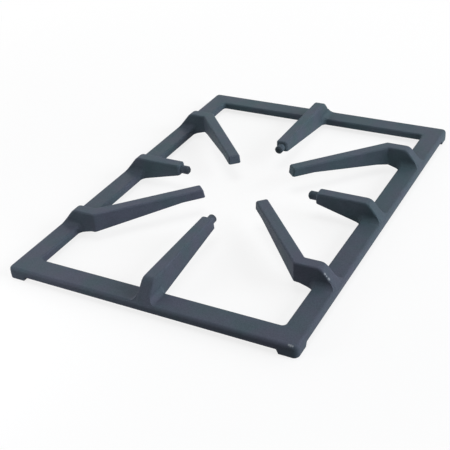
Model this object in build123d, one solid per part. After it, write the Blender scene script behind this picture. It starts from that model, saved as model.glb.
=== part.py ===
from build123d import *
import os
from math import asin, atan2, cos, hypot, radians, sin, sqrt, tan

# Cast iron pan support for one burner of a gas hob, in millimetres.
# The origin is at the middle of the footprint, on the plane that the four feet stand on.
# X runs across the support, Y along it and Z up.

# Frame
WIDTH = 276.8  # over the two long sides
LENGTH = 388.5  # over the two short sides
SIDE_BAR_WIDTH = 20.3  # of the bars along the long sides, at the underside
END_BAR_WIDTH = 22.0  # of the bars along the short sides, at the underside
BAR_THICKNESS = 6.4
OUTER_EDGE_RADIUS = 3.0  # top edge of the outer faces
INNER_EDGE_RADIUS = 2.0  # top edge of the opening
CORNER_ROUNDING = 1.5  # how much rounder the upright outer corners are than the outer edge
OPENING_RADIUS = 3.5  # upright corners of the opening, at the top
DRAFT = 2.0  # degrees that the moulded faces lean in, going away from the parting plane

# Feet, one under each corner
FOOT_HEIGHT = 5.0
FOOT_SIDE = 17.8  # at the frame's underside
FOOT_SLOPE = 2.0  # how far the two inner sides lean in over the height
FOOT_BEVEL = 0.8  # round the sole

# Fingers, as far as all eight are alike
TOP_HEIGHT = 27.6  # pan rest above the feet
FINGER_WIDTH = 11.6  # at the top
RAMP_RUN = 14.9  # from the outer face of the frame to the top of the ramp
CREST_RADIUS = 8.4  # between the ramp and the top
TOP_EDGE_RADIUS = 1.8  # along both edges of the ramp and the top
TIP_BEVEL = 1.4  # on the upright corners of the tip
ROOT_RADIUS = 5.4  # hollow between the finger's sides and its bar
UNDERSIDE_STEP = 0.2  # underside of the root above the underside of the bar

# Straight fingers, one in the middle of each side, with a round pin at the tip
SIDE_REACH = 73.4  # from the burner's axis to the tip, for the fingers of the long sides
END_REACH = 77.8  # the same for the fingers of the short sides
TIP_DEPTH = 10.2  # height of the finger at its tip
PIN_DIAMETER = 8.2
PIN_LENGTH = 8.9  # past the tip
PIN_DROP = 6.0  # axis of the pin below the top
PIN_BEVEL = 1.5  # round the pin's free end

# Cranked fingers, two on each long side, bent to point at the burner's axis
CRANK_OFFSET = 108.7  # from the middle of the long side to the root
STUB_LENGTH = 36.0  # from the outer face of the frame to the bend
BEND_DEPTH = 17.7  # height of the finger at the bend
BEND_ROUNDING = 0.5  # how much rounder the upright corners of the bend are than the top edge
CRANK_REACH = 45.9  # from the burner's axis to the tip
CRANK_TIP_DEPTH = 8.4  # height of the finger over its last stretch
CRANK_TIP_LENGTH = 21.0  # of that stretch
CRANK_TIP_LEAN = 1.3  # how far the end face leans back at the top

# How far a blank runs past the cut that trims it
OVERRUN = 5.0
# How far a pin, or the web of a hollow, is sunk into the finger that carries it
SINK = 1.0
# How far a ramp or a hollow ends under the faces that it blends into
BLEND_SINK = 0.05
# How far the web of a hollow ends behind the face of the ramp
WEB_SETBACK = 0.4

# What follows from these sizes
FRAME_TOP = FOOT_HEIGHT + BAR_THICKNESS
ROOT_LOW = FOOT_HEIGHT + UNDERSIDE_STEP
DRAFT_SLOPE = tan(radians(DRAFT))
BAR_LEAN = BAR_THICKNESS * DRAFT_SLOPE
FINGER_LEAN = (TOP_HEIGHT - FOOT_HEIGHT) * DRAFT_SLOPE
HALF_ROOT = FINGER_WIDTH / 2 + FINGER_LEAN
PARTING = Plane.XY.offset(FOOT_HEIGHT)
FAR = WIDTH + LENGTH

# The ramp runs off the rounded outer edge of the bar, about at a tangent to it
EDGE_IN = (BAR_THICKNESS - OUTER_EDGE_RADIUS) * DRAFT_SLOPE + OUTER_EDGE_RADIUS / cos(radians(DRAFT))
EDGE_UP = FRAME_TOP - OUTER_EDGE_RADIUS
RAMP_RADIUS = OUTER_EDGE_RADIUS - BLEND_SINK
CREST_FROM_EDGE = (RAMP_RUN - EDGE_IN, TOP_HEIGHT - EDGE_UP)
RAMP_ANGLE = atan2(*reversed(CREST_FROM_EDGE)) - asin(RAMP_RADIUS / hypot(*CREST_FROM_EDGE))
RAMP_LOW = (EDGE_IN - RAMP_RADIUS * sin(RAMP_ANGLE), EDGE_UP + RAMP_RADIUS * cos(RAMP_ANGLE))


def polygon(*corners):
    return make_face(Polyline(*corners, close=True))


def edges_of(body, chosen):
    """Those edges of a body that are among the chosen edges of its faces."""
    return body.edges().filter_by(lambda edge: any(edge.is_same(other) for other in chosen))


def footprint():
    return RectangleRounded(WIDTH, LENGTH, OUTER_EDGE_RADIUS + CORNER_ROUNDING + BAR_LEAN)


def frame():
    """Four bars in one rectangle. Their faces lean away from the parting plane at the underside."""
    bars = extrude(PARTING * footprint(), BAR_THICKNESS, taper=DRAFT)
    opening_width = WIDTH - 2 * (SIDE_BAR_WIDTH - BAR_LEAN)
    opening_length = LENGTH - 2 * (END_BAR_WIDTH - BAR_LEAN)
    opening = Pos(Z=FRAME_TOP) * RectangleRounded(opening_width, opening_length, OPENING_RADIUS)
    bars -= extrude(opening, -BAR_THICKNESS, taper=DRAFT)
    rim = bars.faces().sort_by(Axis.Z)[-1].outer_wire().edges()
    bars = fillet(edges_of(bars, rim), OUTER_EDGE_RADIUS)
    rim = bars.faces().sort_by(Axis.Z)[-1].inner_wires()[0].edges()
    return fillet(edges_of(bars, rim), INNER_EDGE_RADIUS)


def foot():
    """The foot under the corner at +X and +Y: flush outside, with a sloping side towards each bar."""

    def wedge(outer):
        inner = outer - FOOT_SIDE
        past = outer + OVERRUN
        return polygon((inner, FOOT_HEIGHT), (past, FOOT_HEIGHT), (past, 0), (inner + FOOT_SLOPE, 0))

    plate = extrude(PARTING * footprint(), -FOOT_HEIGHT, taper=DRAFT)
    pad = plate & extrude(Plane.XZ * wedge(WIDTH / 2), -FAR) & extrude(Plane.YZ * wedge(LENGTH / 2), FAR)
    sole = pad.faces().sort_by(Axis.Z)[0].edges()
    return chamfer(edges_of(pad, sole), FOOT_BEVEL)


# Each finger is drawn on its own, with +X running in from the outer face of its bar at the origin.
# A side view is a face in X and height, run right across the finger.


def run_across(*corners):
    return extrude(Plane.XZ * polygon(*corners), FAR, both=True)


def drawn_up(plan):
    """A finger's plan drawn up to its ramp and its flat top, with the crest between them rounded."""
    crest = (RAMP_RUN, TOP_HEIGHT)
    side_view = polygon((RAMP_LOW[0], ROOT_LOW), RAMP_LOW, crest, (FAR, TOP_HEIGHT), (FAR, ROOT_LOW))
    side_view = fillet(side_view.vertices().sort_by_distance(crest)[0], CREST_RADIUS)
    blank = extrude(PARTING * plan, TOP_HEIGHT - FOOT_HEIGHT + OVERRUN, taper=DRAFT)
    return blank & extrude(Plane.XZ * side_view, FAR, both=True)


def below_root(rise, bar_width):
    """What is cut from under a finger whose underside rises from the inner foot of its bar."""
    high = ROOT_LOW + rise * (FAR - bar_width)
    return run_across((bar_width, ROOT_LOW), (FAR, high), (FAR, -FAR), (bar_width, -FAR))


def ease_tip(finger, heading):
    """Bevels the upright corners of the end face, which looks the way that the finger is heading."""
    end_face = finger.faces().sort_by(lambda face: face.normal_at().dot(heading))[-1]
    upright = [edge for edge in end_face.edges() if abs((edge % 0).Z) > 0.5]
    return chamfer(edges_of(finger, upright), TIP_BEVEL)


def ease_top(finger):
    """Rounds the edges of the ramp and the top, right round the tip."""
    facing_up = [face for face in finger.faces() if face.normal_at().Z > 0.5]
    edges = [edge for face in facing_up for edge in face.edges()]
    border = [edge for edge in edges if sum(edge.is_same(other) for other in edges) == 1]
    border = [edge for edge in border if edge.center().Z > FRAME_TOP]
    return fillet(edges_of(finger, border), TOP_EDGE_RADIUS)


def root_hollows(rise, bar_width):
    """The hollows along both sides of a root, over the top of its bar and down the inner face."""
    half_width = FINGER_WIDTH / 2 + (TOP_HEIGHT - FRAME_TOP) * DRAFT_SLOPE
    finger_side = Plane((0, half_width, FRAME_TOP), x_dir=(1, 0, 0), z_dir=(0, -1, -DRAFT_SLOPE))
    edge = bar_width - BAR_LEAN
    bevel = INNER_EDGE_RADIUS * (2 - sqrt(2))  # follows the rounded inner edge most closely
    down = BAR_THICKNESS * hypot(1, DRAFT_SLOPE)
    path = finger_side * Polyline((RAMP_LOW[0], 0), (edge - bevel, 0), (edge, -bevel), (bar_width, -down))
    reach = ROOT_RADIUS - BLEND_SINK
    bar_sink = 0.5 * INNER_EDGE_RADIUS
    hollow = RadiusArc((reach, -BLEND_SINK), (-BLEND_SINK, reach), ROOT_RADIUS)
    back = Polyline(hollow @ 1, (-SINK, reach), (-SINK, -bar_sink), (reach, -bar_sink), hollow @ 0)
    section = Plane(path @ 0, x_dir=(0, 1, 0), z_dir=(1, 0, 0))
    web = sweep(section * make_face([hollow, back]), path=path, transition=Transition.RIGHT)

    # The webs end a little behind the face of the ramp, and on the finger's underside
    height = ROOT_RADIUS + OVERRUN
    low = RAMP_LOW[0] + WEB_SETBACK
    far = bar_width + height
    web &= run_across(
        (low, ROOT_LOW),
        (low, RAMP_LOW[1]),
        (low + height / tan(RAMP_ANGLE), RAMP_LOW[1] + height),
        (far, RAMP_LOW[1] + height),
        (far, ROOT_LOW + rise * height),
        (bar_width, ROOT_LOW),
    )
    return [web, mirror(web, Plane.XZ)]


def pin(length):
    """Round pin at the tip of a straight finger, with its free end bevelled."""
    seat = Plane((length - SINK, 0, TOP_HEIGHT - PIN_DROP), x_dir=(0, 1, 0), z_dir=(1, 0, 0))
    rod = extrude(seat * Circle(PIN_DIAMETER / 2), SINK + PIN_LENGTH)
    return chamfer(rod.edges().sort_by(Axis.X)[-1], PIN_BEVEL)


def straight_finger(length, bar_width):
    """Finger of a length from the outer face of its bar to its tip, which gets shallower on the way."""
    end = length + FINGER_LEAN
    plan = polygon((-OVERRUN, -HALF_ROOT), (end, -HALF_ROOT), (end, HALF_ROOT), (-OVERRUN, HALF_ROOT))
    rise = (TOP_HEIGHT - TIP_DEPTH - ROOT_LOW) / (length - bar_width)
    body = ease_tip(drawn_up(plan), Vector(1, 0)) - below_root(rise, bar_width)
    return ease_top(body) + root_hollows(rise, bar_width) + pin(length)


def cranked_finger():
    """Finger with a short stub square to its bar, and a leg that points at the burner's axis."""
    bend = Vector(STUB_LENGTH, 0)
    to_burner = Vector(WIDTH / 2, CRANK_OFFSET) - bend
    heading = to_burner.normalized()
    length = to_burner.length - CRANK_REACH

    across = Vector(-heading.Y, heading.X) * HALF_ROOT
    mitre = Vector(-tan(atan2(heading.Y, heading.X) / 2), 1) * HALF_ROOT
    end = bend + heading * (length + FINGER_LEAN + CRANK_TIP_LEAN + OVERRUN)
    root = Vector(-OVERRUN, 0)
    stub_side = Vector(0, HALF_ROOT)
    plan = polygon(
        root - stub_side, bend - mitre, end - across, end + across, bend + mitre, root + stub_side
    )
    bend_radius = TOP_EDGE_RADIUS + BEND_ROUNDING
    plan = fillet(plan.vertices().sort_by_distance(bend - mitre)[0], bend_radius + FINGER_LEAN)
    plan = fillet(plan.vertices().sort_by_distance(bend + mitre)[0], bend_radius)

    # The underside rises along the stub, less steeply along the leg, and is level at the tip
    along_leg = Plane(bend, x_dir=heading, z_dir=-across)
    bend_low = TOP_HEIGHT - BEND_DEPTH
    tip_low = TOP_HEIGHT - CRANK_TIP_DEPTH
    level = length - CRANK_TIP_LENGTH
    leg_rise = (tip_low - bend_low) / level
    below_leg = polygon(
        (-FAR, bend_low - leg_rise * FAR), (level, tip_low), (FAR, tip_low), (FAR, -FAR), (-FAR, -FAR)
    )
    stub_rise = (bend_low - ROOT_LOW) / (STUB_LENGTH - SIDE_BAR_WIDTH)
    below = below_root(stub_rise, SIDE_BAR_WIDTH) & extrude(along_leg * below_leg, FAR, both=True)

    lean = CRANK_TIP_LEAN / CRANK_TIP_DEPTH
    past_tip = polygon(
        (length - lean * OVERRUN, TOP_HEIGHT + OVERRUN), (length + lean * TOP_HEIGHT, 0), (FAR, 0), (FAR, FAR)
    )
    body = ease_tip(drawn_up(plan) - extrude(along_leg * past_tip, FAR, both=True), heading) - below
    return ease_top(body) + root_hollows(stub_rise, SIDE_BAR_WIDTH)


def pan_support():
    """The frame with its feet and fingers, as one casting."""
    side_finger = straight_finger(WIDTH / 2 - SIDE_REACH, SIDE_BAR_WIDTH)
    end_finger = straight_finger(LENGTH / 2 - END_REACH, END_BAR_WIDTH)
    crank = cranked_finger()
    near_crank = Pos(Y=-CRANK_OFFSET) * crank
    far_crank = Pos(Y=CRANK_OFFSET) * mirror(crank, Plane.XZ)
    corner = foot()
    pieces = []
    for turn in (0, 180):
        pieces += [Rot(Z=turn) * Pos(X=-WIDTH / 2) * finger for finger in (near_crank, side_finger, far_crank)]
        pieces.append(Rot(Z=turn + 90) * Pos(X=-LENGTH / 2) * end_finger)
        pieces += [Rot(Z=turn) * corner, Rot(Z=turn) * mirror(corner, Plane.YZ)]
    return frame() + pieces


os.makedirs("parts", exist_ok=True)
export_step(pan_support(), "parts/pan_support.step")
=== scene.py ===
from math import cos, radians, sin

import bpy
from mathutils import Matrix, Vector


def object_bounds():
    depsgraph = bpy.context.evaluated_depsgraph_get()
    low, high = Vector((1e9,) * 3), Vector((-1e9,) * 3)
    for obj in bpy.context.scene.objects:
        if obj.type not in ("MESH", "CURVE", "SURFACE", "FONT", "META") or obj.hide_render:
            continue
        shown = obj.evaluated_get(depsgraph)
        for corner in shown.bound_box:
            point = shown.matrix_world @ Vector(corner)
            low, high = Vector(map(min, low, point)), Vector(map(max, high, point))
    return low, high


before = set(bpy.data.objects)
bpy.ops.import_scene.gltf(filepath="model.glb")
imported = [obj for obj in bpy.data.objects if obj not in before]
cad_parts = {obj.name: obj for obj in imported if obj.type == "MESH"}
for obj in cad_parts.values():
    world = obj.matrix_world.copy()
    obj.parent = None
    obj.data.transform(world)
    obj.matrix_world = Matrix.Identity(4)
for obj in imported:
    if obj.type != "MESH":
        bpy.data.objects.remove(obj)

cad_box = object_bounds()

# Camera: where it stands round the object, and how the object sits in the square picture
CAMERA_YAW = 30.43  # degrees round to the right of the short side
CAMERA_PITCH = 32.15  # degrees above the floor
CAMERA_ROLL = -4.63  # degrees
CAMERA_DISTANCE = 0.86825  # to the middle of the feet, along the line of sight
LENS = 71.354  # millimetres
SENSOR = 36.0  # millimetres
PICTURE_SIDE = 450  # pixels
OBJECT_AT = (248.81, 201.45)  # pixel, from the top left, where the middle of the feet is seen

# Floor: it looks white, with a share of the object's shadow that fades with the distance
FLOOR_SIDE = 6.0
FLOOR_ROUGHNESS = 0.9
FLOOR_SPECULAR = 0.1
WHITE = (1, 1, 1, 1)
SHADOW_SHARE = 0.2
FADING = (0.25, 0.7)  # how far from the middle the shadow starts to fade, and is gone
# It throws little light back at the object from in front of it, and more from further back
DIM_FLOOR = (0.1, 0.1, 0.1, 1)
LIT_FLOOR = (0.8, 0.8, 0.8, 1)
LIGHTENING = (-0.22, -0.05)  # where it turns from dim to lit, along Y

# Light: soft boxes, each with its place, side, power in watts and colour
NEUTRAL = (1, 1, 1)
COOL = (0.97, 1.0, 1.05)
LAMPS = {
    "top": ((0, 0, 1.6), 1.0, 8.6, NEUTRAL),
    "window": ((4.0, 0.5, 1.6), 2.5, 158, COOL),
    "right_back": ((1.1, 1.1, 0.8), 1.0, 7.4, NEUTRAL),
    "back": ((0, 1.5, 0.8), 1.0, 3.1, NEUTRAL),
    "left_back": ((-1.1, 1.1, 0.8), 1.0, 4.8, NEUTRAL),
    "left": ((-1.6, 0, 0.35), 1.0, 3.9, NEUTRAL),
    "front_left": ((-1.1, -1.1, 0.5), 1.0, 4.4, NEUTRAL),
    "near_front": ((-0.2, -0.38, 0.12), 0.12, 0.25, NEUTRAL),
}

# Enamel: two shades of slate, and how its lightness and roughness vary
SLATE_GREEN = (0.052, 0.081, 0.096, 1)
SLATE_VIOLET = (0.0685, 0.077, 0.106, 1)
END_DRIFT = 0.25  # how much more violet the front end is than the middle, and the back end less
CLOUDING = (0.92, 1.08)
SPECKLING = (0.9, 1.1)
ROUGHNESS = (0.5, 0.66)
SPECULAR = 0.085
# Cells to the metre of its textures, and how much detail each has
DRIFT = (42, 3)
CLOUDS = (60, 4)
SPECKLE = (900, 2)
WAVES = (70, 2)
GRAIN = (700, 5)
NOISE_RANGE = (0.3, 0.7)  # where nearly all of a noise lies
WAVE_DEPTH, WAVE_STRENGTH = 0.0006, 0.5
GRAIN_DEPTH, GRAIN_STRENGTH = 0.0003, 0.35
# Painted light: the top faces of the fingers are painted a little paler
PAINTED_PALER_TOP = 1.08
PAINTED_PALER_TOP_DEPTH = 0.0006  # below the top
# Painted glints: a few small pale spots on edges stand in for highlights: place and radius
PAINTED_GLINT_COLOUR = (0.30, 0.33, 0.36, 1)
PAINTED_GLINT_SPOTS = [
    ((0.1308, -0.1923, 0.0112), 0.0014),  # front right corner
    ((0.1323, -0.1925, 0.0111), 0.0017),
    ((0.1339, -0.1925, 0.0110), 0.0013),
    ((0.1272, -0.1134, 0.0230), 0.0016),  # ramp of the finger next to it
    ((0.1286, -0.1135, 0.0212), 0.0011),
    ((0.1305, -0.1134, 0.0189), 0.0019),
]
# Painted shade: the free ends of the pins are painted darker
PAINTED_PIN_SHADE_COLOUR = (0.018, 0.026, 0.032, 1)
PAINTED_PIN_SHADE_RADIUS = 0.0085
PIN_HEIGHT = 0.0216
PIN_ENDS = [(0.0645, 0), (-0.0645, 0), (0, 0.0689), (0, -0.0689)]  # X and Y
PAINTED_PIN_SHADE_SPOTS = [((x, y, PIN_HEIGHT), PAINTED_PIN_SHADE_RADIUS) for x, y in PIN_ENDS]


def join(tree, node, inputs):
    """Sets a node's inputs, by name or number, to values or to what other nodes give."""
    for key, value in inputs.items():
        if isinstance(value, bpy.types.NodeSocket):
            tree.links.new(value, node.inputs[key])
        else:
            node.inputs[key].default_value = value


def add(tree, kind, inputs, **settings):
    """New node of a kind, with its settings and inputs."""
    node = tree.nodes.new("ShaderNode" + kind)
    for name, value in settings.items():
        setattr(node, name, value)
    join(tree, node, inputs)
    return node


def new_material(name):
    material = bpy.data.materials.new(name)
    material.use_nodes = True
    return material, material.node_tree


def in_place(tree):
    """Where a point of the surface lies, in metres."""
    return add(tree, "TexCoord", {}).outputs["Object"]


def along(tree, axis):
    return add(tree, "SeparateXYZ", {"Vector": in_place(tree)}).outputs[axis]


def noise(tree, cells, detail):
    node = add(tree, "TexNoise", {"Vector": in_place(tree), "Scale": cells, "Detail": detail})
    return node.outputs["Fac"]


def stretch(tree, value, start, end, **settings):
    """Value whose range from start[0] to start[1] is stretched to that from end[0] to end[1]."""
    limits = {"From Min": start[0], "From Max": start[1], "To Min": end[0], "To Max": end[1]}
    return add(tree, "MapRange", {"Value": value, **limits}, **settings).outputs["Result"]


def calculate(tree, operation, first, second):
    return add(tree, "Math", {0: first, 1: second}, operation=operation).outputs["Value"]


def blend(tree, share, first, second):
    """Mix of two colours."""
    node = add(tree, "Mix", {"Factor": share}, data_type="RGBA")
    numbers = {socket.identifier: number for number, socket in enumerate(node.inputs)}
    join(tree, node, {numbers["A_Color"]: first, numbers["B_Color"]: second})
    return next(socket for socket in node.outputs if socket.identifier == "Result_Color")


def bumps(tree, height, strength, depth, **below):
    inputs = {"Height": height, "Strength": strength, "Distance": depth, **below}
    return add(tree, "Bump", inputs).outputs["Normal"]


def spotted(tree, spots):
    """Share that is one in the middle of each spot and fades to none at its radius."""
    place = in_place(tree)
    share = 0
    for middle, radius in spots:
        away = add(tree, "VectorMath", {0: place, 1: middle}, operation="DISTANCE").outputs["Value"]
        spot = stretch(tree, away, (0, radius), (1, 0), interpolation_type="SMOOTHSTEP")
        share = calculate(tree, "MAXIMUM", share, spot)
    return share


def cast_enamel():
    """Satin slate-grey enamel over the sandy skin of a casting."""
    material, tree = new_material("cast_enamel")
    ends = (cad_box[0].y, cad_box[1].y)
    lengthwise = stretch(tree, along(tree, "Y"), ends, (END_DRIFT, -END_DRIFT))
    drift = calculate(tree, "ADD", lengthwise, stretch(tree, noise(tree, *DRIFT), NOISE_RANGE, (0, 1)))
    clouds = noise(tree, *CLOUDS)
    speckle = noise(tree, *SPECKLE)
    top = cad_box[1].z

    # painted light: the top faces of the fingers are made a little paler
    lightness = stretch(tree, along(tree, "Z"), (top - PAINTED_PALER_TOP_DEPTH, top), (1, PAINTED_PALER_TOP))
    for texture, limits in ((clouds, CLOUDING), (speckle, SPECKLING)):
        lightness = calculate(tree, "MULTIPLY", lightness, stretch(tree, texture, NOISE_RANGE, limits))
    slate = blend(tree, drift, SLATE_GREEN, SLATE_VIOLET)
    shaded = add(tree, "HueSaturation", {"Color": slate, "Value": lightness}).outputs["Color"]
    # painted shade: the free ends of the pins are darkened
    pin_ends_shade_painted = blend(tree, spotted(tree, PAINTED_PIN_SHADE_SPOTS), shaded, PAINTED_PIN_SHADE_COLOUR)

    waves = bumps(tree, noise(tree, *WAVES), WAVE_STRENGTH, WAVE_DEPTH)
    inputs = {
        # painted glints: small pale spots on the edges stand in for highlights
        "Base Color": blend(tree, spotted(tree, PAINTED_GLINT_SPOTS), pin_ends_shade_painted, PAINTED_GLINT_COLOUR),
        "Roughness": stretch(tree, clouds, NOISE_RANGE, ROUGHNESS),
        "Specular IOR Level": SPECULAR,
        "Normal": bumps(tree, noise(tree, *GRAIN), GRAIN_STRENGTH, GRAIN_DEPTH, Normal=waves),
    }
    join(tree, tree.nodes["Principled BSDF"], inputs)
    return material


def seen(tree):
    """One for what is seen, straight, in a gloss or through glass, and none for other light."""
    rays = add(tree, "LightPath", {}).outputs
    mirrored = calculate(tree, "MAXIMUM", rays["Is Glossy Ray"], rays["Is Transmission Ray"])
    return calculate(tree, "MAXIMUM", rays["Is Camera Ray"], mirrored)


def floor_material():
    """White floor with a faint shadow, which throws light back mostly from behind the object."""
    material, tree = new_material("floor")
    looked_at = seen(tree)
    behind = stretch(tree, along(tree, "Y"), LIGHTENING, (0, 1))
    bounce = blend(tree, behind, DIM_FLOOR, LIT_FLOOR)
    shader = tree.nodes["Principled BSDF"]
    inputs = {
        "Base Color": blend(tree, looked_at, bounce, WHITE),
        "Roughness": FLOOR_ROUGHNESS,
        "Specular IOR Level": FLOOR_SPECULAR,
    }
    join(tree, shader, inputs)
    white = add(tree, "Emission", {"Color": WHITE}).outputs["Emission"]
    away = add(tree, "VectorMath", {0: in_place(tree)}, operation="LENGTH").outputs["Value"]
    whiteness = stretch(tree, away, FADING, (1 - SHADOW_SHARE, 1))
    share = calculate(tree, "MULTIPLY", looked_at, whiteness)
    mix = add(tree, "MixShader", {"Fac": share, 1: shader.outputs["BSDF"], 2: white})
    join(tree, tree.nodes["Material Output"], {"Surface": mix.outputs["Shader"]})
    return material


def floor():
    half = FLOOR_SIDE / 2
    mesh = bpy.data.meshes.new("floor")
    corners = [(-half, -half, 0), (half, -half, 0), (half, half, 0), (-half, half, 0)]
    mesh.from_pydata(corners, [], [(0, 1, 2, 3)])
    mesh.materials.append(floor_material())
    made = bpy.data.objects.new("floor", mesh)
    bpy.context.scene.collection.objects.link(made)


def lamp(name, place, size, power, colour):
    """Square soft box that shines at the middle of the object."""
    data = bpy.data.lights.new(name, "AREA")
    data.size = size
    data.energy = power
    data.color = colour
    made = bpy.data.objects.new(name, data)
    made.location = place
    made.rotation_euler = (-Vector(place)).to_track_quat("-Z", "Y").to_euler()
    bpy.context.scene.collection.objects.link(made)


def studio():
    """The lamps, and a backdrop that is white wherever it is seen or mirrored."""
    world = bpy.data.worlds.new("studio")
    world.use_nodes = True
    bpy.context.scene.world = world
    tree = world.node_tree
    join(tree, tree.nodes["Background"], {"Color": WHITE, "Strength": seen(tree)})
    for name, settings in LAMPS.items():
        lamp(name, *settings)


def camera():
    data = bpy.data.cameras.new("camera")
    data.lens = LENS
    data.sensor_width = SENSOR
    made = bpy.data.objects.new("camera", data)
    yaw, pitch, roll = radians(CAMERA_YAW), radians(CAMERA_PITCH), radians(CAMERA_ROLL)
    level = Vector((cos(yaw), sin(yaw), 0))
    ahead = Vector((-sin(yaw) * cos(pitch), cos(yaw) * cos(pitch), -sin(pitch)))
    upright = level.cross(ahead)
    right = level * cos(roll) + upright * sin(roll)
    up = upright * cos(roll) - level * sin(roll)
    # The object lies this far right of and above the line of sight
    pixel = SENSOR / LENS / PICTURE_SIDE * CAMERA_DISTANCE
    aside = (OBJECT_AT[0] - PICTURE_SIDE / 2) * pixel
    above = (PICTURE_SIDE / 2 - OBJECT_AT[1]) * pixel
    place = -(right * aside + up * above + ahead * CAMERA_DISTANCE)
    turn = Matrix((right, up, -ahead)).transposed().to_4x4()
    made.matrix_world = Matrix.Translation(place) @ turn
    bpy.context.scene.collection.objects.link(made)
    bpy.context.scene.camera = made


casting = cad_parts["pan_support"]
casting.data.materials.clear()
casting.data.materials.append(cast_enamel())
floor()
studio()
camera()
bpy.context.scene.view_settings.view_transform = "Standard"
